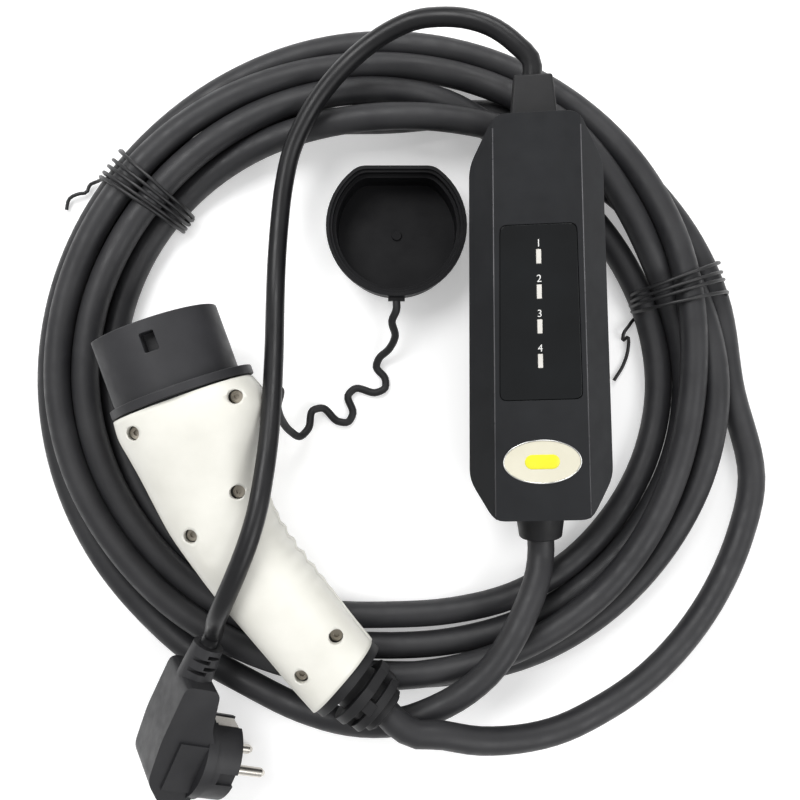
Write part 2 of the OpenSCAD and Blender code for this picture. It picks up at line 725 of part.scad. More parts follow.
// Mains plug: x to the pins, y to the cord, z to the side
insert_r = plug_radius - 2.8;
pin_root = pin_diameter / 2 + 0.5;
module plug_body() {
  color("#1a1a1b") at_plug() difference() {
    union() {
      translate([-17, 0, 0]) rotate([0, 90, 0]) cylinder(r = plug_radius, h = 17);
      translate([-18, 0, 0]) rotate([0, 90, 0]) cylinder(r = plug_radius + 1, h = 5);
      translate([0, 0, -14.5]) linear_extrude(29) polygon(soften([
        [-15, -19], [-29, -19.5], [-39, -9], [-41, 12], [-40.5, 40], [-23.5, 40], [-19, 19], [-15, 15]
      ], 4, 4));
      for (s = [0, 1])
        mirror([0, 0, s]) translate([-32, -11, 14]) cube([14, 24, 2]);
      translate([-32, 55, 0]) rotate([90, 0, 0]) cylinder(r1 = 7.2, r2 = 8.6, h = 20);
    }
    translate([-6, 0, 0]) rotate([0, 90, 0]) cylinder(r = insert_r + 0.05, h = 8);
    for (s = [-1, 1]) {
      translate([-14, s * (plug_radius + 0.5) - 2.6, -5]) cube([16, 5.2, 10]);
      translate([-9, -3, s * plug_radius - 2]) cube([12, 6, 4]);
    }
    for (k = [0, 1]) {
      translate([-45, 43 + k * 5.5, 4]) cube([14, 1.8, 10]);
      translate([-33, 45.5 + k * 5.5, 4]) cube([14, 1.8, 10]);
      translate([-45, 43 + k * 5.5, -14]) cube([14, 1.8, 10]);
      translate([-33, 45.5 + k * 5.5, -14]) cube([14, 1.8, 10]);
    }
  }
}
module pin_row(r, x0, x1) {
  for (s = [-1, 1])
    translate([x0, 0, s * pin_pitch / 2]) rotate([0, 90, 0]) cylinder(r = r, h = x1 - x0);
}
module plug_insert() {
  color("#232324") at_plug() difference() {
    translate([-6, 0, 0]) rotate([0, 90, 0]) cylinder(r = insert_r, h = 5.8);
    pin_row(pin_root, -7, 1);
    translate([-5, -10, 0]) rotate([0, 90, 0]) cylinder(r = 2.5, h = 8);
  }
}
module plug_pins() {
  color("#c9ccd0") at_plug() {
    pin_row(pin_root, -6, -0.2);
    pin_row(pin_diameter / 2, -0.2, pin_length - 2);
    for (s = [-1, 1])
      translate([pin_length - 2, 0, s * pin_pitch / 2]) rotate([0, 90, 0])
        cylinder(r1 = pin_diameter / 2, r2 = pin_diameter / 2 - 1.2, h = 2);
  }
}
module earth_strap() {
  color("#c4b27a") at_plug() for (s = [-1, 1])
    translate([-14, s * (plug_radius - 1.6) - 0.5, -4]) cube([13, 1, 8]);
}

// Ties: a wire wound round the coil, then its loose end
tie_loop = [
  [115.6, 6.5], [119, 14.8], [133, 23.6], [141, 25.4], [154, 25.4], [163, 22.6], [172, 13.8], [174, 6.5],
  [173, 1.2], [155, 1], [135, 1], [117, 1.2]
];
function tie_point(p, along, a) = [coil_centre[0], coil_centre[1], 0] + rz([p[0], along, p[1]], a);
function tie_wound(a, first, step) = [
  for (j = [0 : 3]) for (k = [0 : 11])
    tie_point(tie_loop[k], first + step * (j + k / 12), a)
];
left_tie_route = concat(tie_wound(tie_angles[0], -10, 5), [
  for (k = [0 : 7]) tie_point(tie_loop[k], 10 + 5 * k / 12, tie_angles[0])
], [
  tie_point([176, 4], 16, tie_angles[0]), tie_point([178, 2.6], 20, tie_angles[0]),
  tie_point([180, 1.6], 25, tie_angles[0])
]);
right_tie_route = concat(tie_wound(tie_angles[1], -10, 5), [
  tie_point([112, 4], 10, tie_angles[1]), tie_point([107, 2.4], 2, tie_angles[1]),
  tie_point([106, 1.6], -10, tie_angles[1]), tie_point([108, 1.4], -22, tie_angles[1]),
  tie_point([106, 1.4], -37, tie_angles[1])
]);
module left_tie() {
  color("#2b2b2b") tube(left_tie_route, tie_diameter, 8, rz([0, 1, 0], tie_angles[0]));
}
module right_tie() {
  color("#2b2b2b") tube(right_tie_route, tie_diameter, 8, rz([0.3, 1, 0.2], tie_angles[1]));
}

translate(part_shift) front_cover();
translate(part_shift) rear_cover();
translate(part_shift) cover_gasket();
translate(part_shift) cover_screws();
translate(part_shift) indicator_window();
translate(part_shift) light_pipes();
translate(part_shift) indicator_lamps();
translate(part_shift) indicator_board();
translate(part_shift) badge_plate();
translate(part_shift) main_board();
translate(part_shift) board_screws();
translate(part_shift) power_relays();
translate(part_shift) current_sensor();
translate(part_shift) power_supply();
translate(part_shift) input_terminal();
translate(part_shift) output_terminal();
translate(part_shift) input_cores();
translate(part_shift) output_cores();
translate(part_shift) input_boot();
translate(part_shift) output_boot();
translate(part_shift) connector_nose();
translate(part_shift) nose_seal();
translate(part_shift) contact_carrier();
translate(part_shift) power_contacts();
translate(part_shift) signal_contacts();
translate(part_shift) upper_shell();
translate(part_shift) lower_shell();
translate(part_shift) shell_screws();
translate(part_shift) cable_clamp();
translate(part_shift) clamp_screws();
translate(part_shift) connector_cores();
translate(part_shift) connector_boot();
translate(part_shift) dust_cap();
translate(part_shift) cap_tether();
translate(part_shift) cable_coil();
translate(part_shift) cable_box_tail();
translate(part_shift) cable_connector_tail();
translate(part_shift) mains_cord();
translate(part_shift) plug_body();
translate(part_shift) plug_insert();
translate(part_shift) plug_pins();
translate(part_shift) earth_strap();
translate(part_shift) left_tie();
translate(part_shift) right_tie();
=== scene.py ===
"""Looks for a portable EV charger lying coiled on a pale floor, seen from straight above."""

import json
import math

import bmesh
import bpy
import numpy as np
from mathutils import Matrix, Vector


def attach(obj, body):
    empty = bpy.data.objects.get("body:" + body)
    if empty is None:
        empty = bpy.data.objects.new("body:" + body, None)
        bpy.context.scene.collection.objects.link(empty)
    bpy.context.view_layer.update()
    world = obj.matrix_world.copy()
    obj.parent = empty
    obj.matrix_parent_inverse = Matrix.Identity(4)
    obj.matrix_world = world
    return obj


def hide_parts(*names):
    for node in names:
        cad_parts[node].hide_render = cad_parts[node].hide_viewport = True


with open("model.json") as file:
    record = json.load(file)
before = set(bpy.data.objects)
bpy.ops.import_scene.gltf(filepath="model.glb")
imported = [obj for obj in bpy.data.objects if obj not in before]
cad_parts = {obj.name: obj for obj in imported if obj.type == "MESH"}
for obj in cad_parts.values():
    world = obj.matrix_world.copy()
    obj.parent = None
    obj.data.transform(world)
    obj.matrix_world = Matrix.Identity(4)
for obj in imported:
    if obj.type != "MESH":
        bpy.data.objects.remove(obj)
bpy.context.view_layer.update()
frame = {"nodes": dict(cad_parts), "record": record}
NODES = frame["nodes"]
MM = 0.001

# Sizes in millimetres, as in the part's source
CABLE_DIAMETER = 13
MAINS_DIAMETER = 8.8
TETHER_DIAMETER = 3.8
TIE_DIAMETER = 1.8
BOX_LENGTH = 180
BOX_DEPTH = 46
BOX_AXIS_Z = 23
INPUT_BOOT_LENGTH = 18
OUTPUT_BOOT_LENGTH = 14
REAR_BOOT_LENGTH = 26
# Stations along the connector's handle: x, y, droop, half width and half thickness
STATIONS = [
    (-1, 0, 0, 32, 31), (-8, -1, 1, 33.5, 31.5), (-16, -2, 2, 33.2, 31), (-26, -1, 4, 30.5, 29.5),
    (-38, 1, 6, 27, 27.5), (-52, 2, 10, 24, 25.5), (-68, 0, 14, 21.8, 24), (-84, -4, 18, 21, 23),
    (-100, -9.5, 22, 20.7, 22.2), (-115, -14.8, 26, 20.6, 21.4), (-130, -19.8, 28, 20.4, 20.8),
    (-142.8, -24.6, 29, 20.2, 20.4),
]

# Brings the middle of the footprint to the origin
PART_SHIFT = Vector((-1.3, 0, 0))


def placed(place, *turns):
    """The matrix that puts a group's own millimetre frame into the shared frame."""
    matrix = Matrix.Translation(Vector(place) + PART_SHIFT)
    for angle, axis in turns:
        matrix = matrix @ Matrix.Rotation(math.radians(angle), 4, axis)
    return matrix


# Places of the lying groups, as in the part's source
BOX = placed((87.4, -45.6, 2.3), (2.3, "Z"), (9, "X"), (-4.5, "Y"))
CONN = placed((-78.9, 3.2, 47.6), (110, "Z"))
CAP = placed((17.3, 85, 0))
PLUG = placed((-66.2, -169.9, 19.3), (-24.6, "Z"), (6, "X"), (31.4, "Y"))
LAYOUT = placed((0, 0, 0))


def at(matrix, *points):
    """A group's own points in the shared frame, still in millimetres."""
    return [tuple(matrix @ Vector(p)) for p in points]


def new_object(name, data):
    """An object in the scene that shows this data."""
    thing = bpy.data.objects.new(name, data)
    bpy.context.scene.collection.objects.link(thing)
    return thing


# Camera, straight above the photograph's centre
CAMERA_HEIGHT = 500
SENSOR_WIDTH = 36
FOCAL_PIXELS = 997
PHOTO_PIXELS = 800
VIEW_CENTRE = (19, 2)


def make_camera():
    """The photograph's camera, which looks straight down."""
    data = bpy.data.cameras.new("camera")
    data.sensor_width = SENSOR_WIDTH
    data.lens = SENSOR_WIDTH * FOCAL_PIXELS / PHOTO_PIXELS
    camera = new_object("camera", data)
    eye = LAYOUT @ Vector((*VIEW_CENTRE, CAMERA_HEIGHT))
    camera.location = eye * MM
    bpy.context.scene.camera = camera


make_camera()


# Cords
def hermite(points, slopes, k, u, gap=1):
    """Points a share u of the way from each point k to the next one, on a smooth line with these slopes."""
    start = (2 * u**3 - 3 * u**2 + 1) * points[k] + (u**3 - 2 * u**2 + u) * gap * slopes[k]
    end = (3 * u**2 - 2 * u**3) * points[k + 1] + (u**3 - u**2) * gap * slopes[k + 1]
    return start + end


def smooth(points, step):
    """A smooth line through the points, with a point about every step millimetres."""
    p = np.array(points, float)
    gap = np.linalg.norm(np.diff(p, axis=0), axis=1)
    t = np.concatenate([[0], np.cumsum(gap)])
    slope = np.gradient(p, t, axis=0)
    s = np.linspace(0, t[-1], int(t[-1] / step) + 2)
    k = np.clip(np.searchsorted(t, s, side="right") - 1, 0, len(p) - 2)
    h = gap[k][:, None]
    u = (s - t[k])[:, None] / h
    return hermite(p, slope, k, u, h)


def make_cord(name, line, diameter, material, sides=6):
    """A round cord along a line of millimetre points in the shared frame."""
    data = bpy.data.curves.new(name, "CURVE")
    data.dimensions = "3D"
    data.bevel_depth = diameter / 2 * MM
    data.bevel_resolution = sides
    data.use_fill_caps = True
    spline = data.splines.new("POLY")
    spline.points.add(len(line) - 1)
    flat = np.ones((len(line), 4))
    flat[:, :3] = np.array(line) * MM
    spline.points.foreach_set("co", flat.ravel())
    spline.use_smooth = True
    cord = new_object(name, data)
    data.materials.append(material)
    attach(cord, "root")
    return cord


# Materials: every colour varies softly, and every surface has its own grain
# Sizes of the patches of colour and of gloss and of the specks, in millimetres
PATCH_SIZE = 22
GLOSS_SIZE = 6
SPECK_SIZE = 0.9
# Shares of the noise between which a colour or gloss changes, and between which a speck begins
SOFT_BAND = (0.3, 0.7)
SPECK_BAND = (0.74, 0.8)
# Dust is paler than the surface by this factor and this much
DUST_GAIN = 2.2
DUST_LIFT = 0.03


def surface(name, dark, light, rough, grain_size, grain_depth, specks=0.0, shine=0.5, metallic=0.0):
    """A moulded, rubber or metal surface: soft colour patches, uneven gloss, fine grain and pale dust."""
    material = bpy.data.materials.new(name)
    material.use_nodes = True
    tree = material.node_tree
    shader = tree.nodes["Principled BSDF"]
    place = tree.nodes.new("ShaderNodeTexCoord").outputs["Object"]

    def noise(size, detail):
        node = tree.nodes.new("ShaderNodeTexNoise")
        node.inputs["Scale"].default_value = 1 / (size * MM)
        node.inputs["Detail"].default_value = detail
        tree.links.new(place, node.inputs["Vector"])
        return node.outputs["Fac"]

    def ramp(source, low, high, first, last):
        node = tree.nodes.new("ShaderNodeMapRange")
        limits = {"From Min": low, "From Max": high, "To Min": first, "To Max": last}
        for socket, value in limits.items():
            node.inputs[socket].default_value = value
        tree.links.new(source, node.inputs["Value"])
        return node.outputs["Result"]

    def mix(factor, first, second):
        node = tree.nodes.new("ShaderNodeMix")
        node.data_type = "RGBA"
        tree.links.new(factor, node.inputs["Factor"])
        for socket, value in ((node.inputs[6], first), (node.inputs[7], second)):
            if isinstance(value, bpy.types.NodeSocket):
                tree.links.new(value, socket)
            else:
                socket.default_value = (*value, 1)
        return node.outputs[2]

    colour = mix(ramp(noise(PATCH_SIZE, detail=4), *SOFT_BAND, 0, 1), dark, light)
    if specks:
        dust = tuple(min(1, c * DUST_GAIN + DUST_LIFT) for c in light)
        colour = mix(ramp(noise(SPECK_SIZE, detail=2), *SPECK_BAND, 0, specks), colour, dust)
    tree.links.new(colour, shader.inputs["Base Color"])
    gloss = ramp(noise(GLOSS_SIZE, detail=5), *SOFT_BAND, *rough)
    tree.links.new(gloss, shader.inputs["Roughness"])
    bump = tree.nodes.new("ShaderNodeBump")
    bump.inputs["Strength"].default_value = 1
    bump.inputs["Distance"].default_value = grain_depth * MM
    tree.links.new(noise(grain_size, detail=3), bump.inputs["Height"])
    tree.links.new(bump.outputs["Normal"], shader.inputs["Normal"])
    shader.inputs["Specular IOR Level"].default_value = shine
    shader.inputs["Metallic"].default_value = metallic
    return material


# Looks by name: colours of the patches, range of roughness, grain in millimetres, dust, shine and metal
SURFACES = {
    "cable_rubber": {
        "dark": (0.015, 0.015, 0.017), "light": (0.026, 0.026, 0.028), "rough": (0.42, 0.6),
        "grain_size": 0.5, "grain_depth": 0.03, "specks": 0.35, "shine": 0.42,
    },
    "mains_rubber": {
        "dark": (0.007, 0.007, 0.008), "light": (0.012, 0.012, 0.013), "rough": (0.3, 0.42),
        "grain_size": 0.6, "grain_depth": 0.02, "specks": 0.15, "shine": 0.32,
    },
    "boot_rubber": {
        "dark": (0.009, 0.009, 0.01), "light": (0.016, 0.016, 0.017), "rough": (0.42, 0.58),
        "grain_size": 0.5, "grain_depth": 0.03, "specks": 0.2, "shine": 0.3,
    },
    # The boots' rubber made darker and duller for the dust cap: painted shade, as the cap lies deep in shadow
    # inside the coil
    "cap_rubber_painted_shade": {
        "dark": (0.004, 0.004, 0.005), "light": (0.008, 0.008, 0.009), "rough": (0.45, 0.6),
        "grain_size": 0.5, "grain_depth": 0.03, "specks": 0.12, "shine": 0.16,
    },
    "box_plastic": {
        "dark": (0.008, 0.0085, 0.01), "light": (0.012, 0.013, 0.015), "rough": (0.4, 0.52),
        "grain_size": 0.35, "grain_depth": 0.02, "specks": 0.1, "shine": 0.28,
    },
    # Pale, glossier grey for the beads on the box's front edges: a painted highlight, not the plastic's own
    # colour
    "edge_sheen": {
        "dark": (0.06, 0.06, 0.065), "light": (0.1, 0.1, 0.105), "rough": (0.25, 0.35),
        "grain_size": 0.6, "grain_depth": 0.008,
    },
    "window_plastic": {
        "dark": (0.003, 0.0035, 0.004), "light": (0.005, 0.006, 0.007), "rough": (0.06, 0.12),
        "grain_size": 3, "grain_depth": 0.004, "shine": 0.36,
    },
    "print_white": {
        "dark": (0.7, 0.7, 0.68), "light": (0.8, 0.8, 0.78), "rough": (0.4, 0.5),
        "grain_size": 0.5, "grain_depth": 0.005,
    },
    "light_plastic": {
        "dark": (0.6, 0.58, 0.53), "light": (0.7, 0.68, 0.64), "rough": (0.3, 0.45),
        "grain_size": 0.6, "grain_depth": 0.01,
    },
    "badge_plastic": {
        "dark": (0.66, 0.63, 0.5), "light": (0.74, 0.71, 0.58), "rough": (0.15, 0.28),
        "grain_size": 2, "grain_depth": 0.006,
    },
    "badge_yellow": {
        "dark": (0.78, 0.72, 0.02), "light": (0.86, 0.82, 0.04), "rough": (0.2, 0.3),
        "grain_size": 1, "grain_depth": 0.005,
    },
    "badge_rim": {
        "dark": (0.62, 0.62, 0.6), "light": (0.78, 0.78, 0.76), "rough": (0.12, 0.22),
        "grain_size": 1, "grain_depth": 0.005, "metallic": 1.0,
    },
    "handle_plastic": {
        "dark": (0.7, 0.69, 0.63), "light": (0.78, 0.77, 0.71), "rough": (0.38, 0.52),
        "grain_size": 0.6, "grain_depth": 0.025,
    },
    "nose_plastic": {
        "dark": (0.019, 0.019, 0.021), "light": (0.03, 0.03, 0.033), "rough": (0.42, 0.58),
        "grain_size": 0.4, "grain_depth": 0.03, "specks": 0.2, "shine": 0.36,
    },
    "plug_plastic": {
        "dark": (0.016, 0.016, 0.018), "light": (0.027, 0.027, 0.029), "rough": (0.38, 0.52),
        "grain_size": 0.5, "grain_depth": 0.03, "specks": 0.12, "shine": 0.36,
    },
    "tie_wire": {
        "dark": (0.008, 0.008, 0.009), "light": (0.014, 0.014, 0.015), "rough": (0.36, 0.5),
        "grain_size": 0.8, "grain_depth": 0.03,
    },
    "pin_metal": {
        "dark": (0.6, 0.57, 0.52), "light": (0.74, 0.71, 0.66), "rough": (0.14, 0.26),
        "grain_size": 1.2, "grain_depth": 0.006, "metallic": 1.0,
    },
    "contact_metal": {
        "dark": (0.6, 0.42, 0.18), "light": (0.74, 0.56, 0.28), "rough": (0.22, 0.36),
        "grain_size": 1, "grain_depth": 0.01, "metallic": 1.0,
    },
    "steel_screw": {
        "dark": (0.3, 0.27, 0.22), "light": (0.46, 0.42, 0.36), "rough": (0.28, 0.45),
        "grain_size": 0.5, "grain_depth": 0.02, "metallic": 1.0,
    },
    "board_green": {
        "dark": (0.02, 0.13, 0.05), "light": (0.04, 0.19, 0.08), "rough": (0.25, 0.4),
        "grain_size": 1, "grain_depth": 0.02,
    },
    "relay_blue": {
        "dark": (0.02, 0.08, 0.24), "light": (0.04, 0.12, 0.32), "rough": (0.3, 0.45),
        "grain_size": 1, "grain_depth": 0.02,
    },
    "sensor_yellow": {
        "dark": (0.6, 0.36, 0.03), "light": (0.74, 0.46, 0.06), "rough": (0.35, 0.5),
        "grain_size": 1, "grain_depth": 0.02,
    },
    "core_brown": {
        "dark": (0.16, 0.07, 0.03), "light": (0.24, 0.11, 0.05), "rough": (0.35, 0.5),
        "grain_size": 1, "grain_depth": 0.02,
    },
}
MATERIALS = {name: surface(name, **look) for name, look in SURFACES.items()}

# Charging cable: out of the rear boot, five turns of the coil, and on to the control box
COIL_CENTRE = (14.1, 9.4)
COIL_POINTS_PER_TURN = 24
COIL_DIRECTIONS = 8
# Radius and height of each turn at S, SE, E, NE, N, NW, W and SW, from where the cable comes onto the coil
COIL_TURNS = [
    [None, None, (165.5, 6.5), (154.5, 6.5), (130.5, 6.5), (153, 6.5), (154, 6.5), (147, 6.5)],
    [(143, 6.5), (154, 6.5), (157, 16.5), (142, 7.5), (129, 19.5), (137, 6.5), (138, 6.5), (131, 6.5)],
    [(114.5, 6.5), (125, 6.5), (134.5, 6.5), (134, 6.5), (142.5, 9), (145, 17), (147, 18.7), (137, 13.5)],
    [(128.5, 6.5), (138.5, 6.5), (148, 6.5), (144, 17.5),
     (153.5, 12), (160, 18.3), (159.5, 18.5), (146.5, 19.5)],
    [(140, 19.5), (143, 16.5), (145.5, 19.5), (158, 18), (166, 10), (167, 6.5), (167.5, 6.5), (163.5, 6.5)],
]
# How far the cable runs straight out of its two boots
REAR_STRAIGHT = 14
OUTPUT_STRAIGHT = 9


def rear_boot_axis(distance):
    """A point on the rear boot's axis, that far behind the handle."""
    x, y, droop = STATIONS[-1][:3]
    a = math.radians(droop)
    return Vector((x, y, 0)) + distance * Vector((-math.cos(a), -math.sin(a), 0))


CONNECTOR_TAIL = at(
    CONN, rear_boot_axis(REAR_BOOT_LENGTH), rear_boot_axis(REAR_BOOT_LENGTH + REAR_STRAIGHT)
) + at(
    LAYOUT,
    (38, -150.5, 46), (52, -154, 43), (66, -155.5, 39), (94, -153, 31), (114.5, -145, 26), (133, -134.5, 22),
    (155, -115.5, 17), (174, -90, 12.5), (186, -64, 9), (191.5, -42, 7),
)
BOX_TAIL = at(
    LAYOUT,
    (-86, -119, 9), (-56, -135, 14), (-25, -147.5, 20.8), (-4, -151, 26.5), (17, -150, 29.8),
    (35.5, -143.5, 30.8), (49.5, -135.5, 31.6), (61.5, -125, 31.8), (71.5, -110.5, 31.5), (79.5, -95, 28.8),
    (84.4, -83, 25.5),
) + at(BOX, *[(0, -OUTPUT_BOOT_LENGTH - d, BOX_AXIS_Z) for d in (OUTPUT_STRAIGHT, 0)])


def coil_line():
    """The coil's turns, worked out from the radius and height at eight directions a turn."""
    known = [v for turn in COIL_TURNS for v in turn]
    first = sum(v is None for v in known)
    values = np.array(known[first:], float)
    last = len(values) - 1
    t = np.linspace(0, last, last * COIL_POINTS_PER_TURN // COIL_DIRECTIONS + 1)
    k = np.clip(t.astype(int), 0, last - 1)
    blend = hermite(values, np.gradient(values, axis=0), k, (t - k)[:, None])
    angle = np.radians(-90 + 360 / COIL_DIRECTIONS * (t + first))
    x = COIL_CENTRE[0] + blend[:, 0] * np.cos(angle)
    y = COIL_CENTRE[1] + blend[:, 0] * np.sin(angle)
    z = np.maximum(blend[:, 1], CABLE_DIAMETER / 2)
    return at(LAYOUT, *np.stack([x, y, z], axis=1))


# Settling: how many points stay at each end, and how many lie between two points that can push each other
SETTLE_HELD = 6
SETTLE_ROUNDS = 150
# Shares of a push and of a bend that each round takes
PUSH_SHARE = 0.5
BEND_SHARE = 0.25
LEAST_DISTANCE = 1e-6
# Spacing of the points while they settle, and along the finished cable
SETTLE_STEP = 9
CABLE_STEP = 6


def settle(line, diameter):
    """Pushes strands that run into each other apart, softly along the cord, and keeps them on the floor."""
    count = len(line)
    index = np.arange(count)
    apart = np.abs(index[:, None] - index[None]) > SETTLE_HELD
    free = slice(SETTLE_HELD, count - SETTLE_HELD)
    shift = np.zeros_like(line)
    for _ in range(SETTLE_ROUNDS):
        p = line + shift
        away = p[:, None] - p[None]
        distance = np.linalg.norm(away, axis=2) + LEAST_DISTANCE
        short = np.where(apart & (distance < diameter), diameter - distance, 0)
        push = (short / distance)[..., None] * away
        hits = np.maximum((short > 0).sum(1), 1)[:, None]
        shift[free] += (PUSH_SHARE * push.sum(1) / hits)[free]
        bend = np.zeros_like(shift)
        bend[1:-1] = shift[:-2] + shift[2:] - 2 * shift[1:-1]
        shift[free] += BEND_SHARE * bend[free]
        shift[:, 2] = np.maximum(shift[:, 2], diameter / 2 - line[:, 2])
    return line + shift


CABLE_ROUTE = smooth(CONNECTOR_TAIL + coil_line() + BOX_TAIL, SETTLE_STEP)
CABLE_LINE = smooth(settle(CABLE_ROUTE, CABLE_DIAMETER), CABLE_STEP)
cable = make_cord("charging_cable", CABLE_LINE, CABLE_DIAMETER, MATERIALS["cable_rubber"], sides=8)
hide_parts("cable_coil", "cable_box_tail", "cable_connector_tail")

# Mains lead, which runs straight for a little way out of the box's boot and into the plug
INPUT_STRAIGHT = 6
PLUG_STRAIGHT = 5
PLUG_EXIT = (-32, 55, 0)
MAINS_STEP = 4
MAINS_ROUTE = (
    at(BOX, *[(0, BOX_LENGTH + INPUT_BOOT_LENGTH + d, BOX_AXIS_Z) for d in (0, INPUT_STRAIGHT)])
    + at(
        LAYOUT,
        (70.5, 160, 57.5), (60.5, 167.5, 57), (49, 172, 55.5), (37, 174, 52.5), (25.5, 174, 48.5),
        (14.5, 170.5, 45), (3, 164, 41.5), (-8, 155, 38.5), (-17, 145.5, 35.5), (-25.5, 133, 33),
        (-32, 119.5, 30.5), (-36, 102.5, 29), (-38, 85, 29), (-39, 66.5, 31.5), (-39, 48.5, 36.5),
        (-38, 25, 48.5), (-37.6, 2, 60), (-38, -14.5, 67), (-39.5, -31, 73), (-41.5, -44, 76),
        (-45, -57, 77.5), (-51, -72.5, 76.5), (-57, -85.5, 72.5), (-60.8, -93.2, 66), (-63, -97.8, 57.5),
        (-65, -102, 49),
    )
    + at(PLUG, (PLUG_EXIT[0], PLUG_EXIT[1] + PLUG_STRAIGHT, 0), PLUG_EXIT)
)
MAINS_LINE = smooth(MAINS_ROUTE, MAINS_STEP)
mains = make_cord("mains_lead", MAINS_LINE, MAINS_DIAMETER, MATERIALS["mains_rubber"])
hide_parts("mains_cord")

# Tether of the dust cap, from the cap's lug to the connector
CAP_EDGE = 30.6
LUG_Z = 22
# Distances of the tether's first two points from the cap's edge
LUG_REACH = (5, 9)
TETHER_STEP = 1.5
TETHER_ROUTE = (
    at(CAP, *[(0, -CAP_EDGE - d, LUG_Z) for d in LUG_REACH])
    + at(
        LAYOUT,
        (15.2, 40.5, 19.5), (16.6, 33, 13), (13.5, 27, 8.5), (8.5, 22.5, 5), (7.2, 18.5, 3),
        (11.6, 12.5, 2.1), (11.5, 8, 2.1), (7.5, 5.8, 2.1), (-4, 7.4, 2.1), (-6.8, 4.6, 2.1),
        (-4.6, -5, 2.1), (-7, -9, 2.1), (-11.5, -8.8, 2.5), (-20, -2, 4), (-24, -3, 5.2),
        (-26.2, -12, 8), (-29.8, -15.8, 11), (-34.2, -13, 17), (-37.2, -7.5, 26), (-38, -1.5, 36),
    )
    + at(CONN, (-11, -41, -0.5), (-11, -35.3, 0))
)
TETHER_LINE = smooth(TETHER_ROUTE, TETHER_STEP)
tether = make_cord("dust_cap_tether", TETHER_LINE, TETHER_DIAMETER, MATERIALS["boot_rubber"])
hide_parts("cap_tether")

# Wire ties round the coil: each wire's place along the cable at the inner and the outer side, then the points
# of its loose end as radius, height and place along the cable
TIE_CENTRE = (14, 14)
TIES = {
    "left": {
        "angle": 143, "inner": 125, "outer": 172, "high": 27.4,
        "inner_places": (-4, -2, 0.5, 3, 4.5), "outer_places": (-9, -3, 1, 5, 8),
        "tail": [
            (175, 3.5, 11), (177, 2.4, 14), (176, 2.6, 18), (178.5, 3.4, 21), (181, 2.4, 26), (179, 1.8, 31),
        ],
    },
    "right": {
        "angle": 16, "inner": 124.5, "outer": 170, "high": 30.4,
        "inner_places": (5, 2.5, 0, -3, -6), "outer_places": (9, 4, 0, -7, -8),
        "tail": [
            (121, 3.5, -9), (117.5, 5, -11.5), (116.5, 3, -15), (119.5, 2, -14), (118, 1.6, -20),
            (113.5, 1.4, -27), (107, 1.4, -33),
        ],
    },
}
# A tie's way over the top from the inner side, and back below: share of the way out, and share of the height
TIE_OVER = [(0, 0.2), (0.05, 0.56), (0.3, 0.92), (0.44, 1), (0.66, 1), (0.82, 0.88), (0.97, 0.52), (1, 0.24)]
TIE_BACK = [(0.98, 0), (0.67, 0), (0.33, 0), (0.02, 0)]
TIE_LOW = 1
TIE_STEP = 2


def tie_point(tie, radius, height, along):
    """A point of a tie, from its distance to the coil's middle, its height and its place along the cable."""
    turn = Matrix.Rotation(math.radians(tie["angle"]), 4, "Z")
    return Vector((*TIE_CENTRE, 0)) + turn @ Vector((radius, along, height))


def half_turn(tie, section, first, steps, start, end):
    """A tie's points over or below the coil, stepping along the cable from start towards end."""
    points = []
    for k, (out, up) in enumerate(section, first):
        radius = tie["inner"] + out * (tie["outer"] - tie["inner"])
        height = TIE_LOW + up * (tie["high"] - TIE_LOW)
        points.append(tie_point(tie, radius, height, start + k / steps * (end - start)))
    return points


def tie_route(tie):
    """A wire wound round the coil, over the top and back below, then its loose end."""
    inner, outer = tie["inner_places"], tie["outer_places"]
    over_steps = len(TIE_OVER) - 1
    back_steps = len(TIE_BACK) + 1
    route = []
    for j in range(len(outer) - 1):
        route += half_turn(tie, TIE_OVER, 0, over_steps, inner[j], outer[j])
        route += half_turn(tie, TIE_BACK, 1, back_steps, outer[j], inner[j + 1])
    if tie["tail"][0][0] > tie["outer"]:
        route += half_turn(tie, TIE_OVER, 0, over_steps, inner[-1], outer[-1])
    return route + [tie_point(tie, *p) for p in tie["tail"]]


for side, tie_data in TIES.items():
    line = smooth(at(LAYOUT, *tie_route(tie_data)), TIE_STEP)
    line[:, 2] = np.maximum(line[:, 2], TIE_LOW)
    tie = make_cord(f"{side}_wire_tie", line, TIE_DIAMETER, MATERIALS["tie_wire"], sides=3)
    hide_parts(f"{side}_tie")


# Rigid pieces
EDGE_WIDTHS = {
    "front_cover": 1.2, "rear_cover": 1.0, "indicator_window": 0.25, "light_pipes": 0.2, "badge_plate": 0.25,
    "input_boot": 1.0, "output_boot": 0.8, "connector_nose": 0.7, "contact_carrier": 0.4,
    "connector_boot": 0.6, "dust_cap": 0.5, "plug_body": 0.7, "plug_insert": 0.4, "plug_pins": 0.4,
    "earth_strap": 0.2, "shell_screws": 0.25, "cover_screws": 0.2, "power_contacts": 0.3,
    "signal_contacts": 0.2, "cover_gasket": 0.2,
}
WELD_DISTANCE = 0.002
FLAT_ANGLE = 0.6
SHARP_ANGLE = 28
EDGE_SEGMENTS = 3


def soften_edges(node, width):
    """Rounds the sharp edges of a solid that stays as it is."""
    weld = node.modifiers.new("weld", "WELD")
    weld.merge_threshold = WELD_DISTANCE * MM
    flat = node.modifiers.new("flat", "DECIMATE")
    flat.decimate_type = "DISSOLVE"
    flat.angle_limit = math.radians(FLAT_ANGLE)
    bevel = node.modifiers.new("round", "BEVEL")
    bevel.width = width * MM
    bevel.segments = EDGE_SEGMENTS
    bevel.limit_method = "ANGLE"
    bevel.angle_limit = math.radians(SHARP_ANGLE)
    bevel.miter_outer = "MITER_ARC"
    normals = node.modifiers.new("normals", "WEIGHTED_NORMAL")
    normals.keep_sharp = False


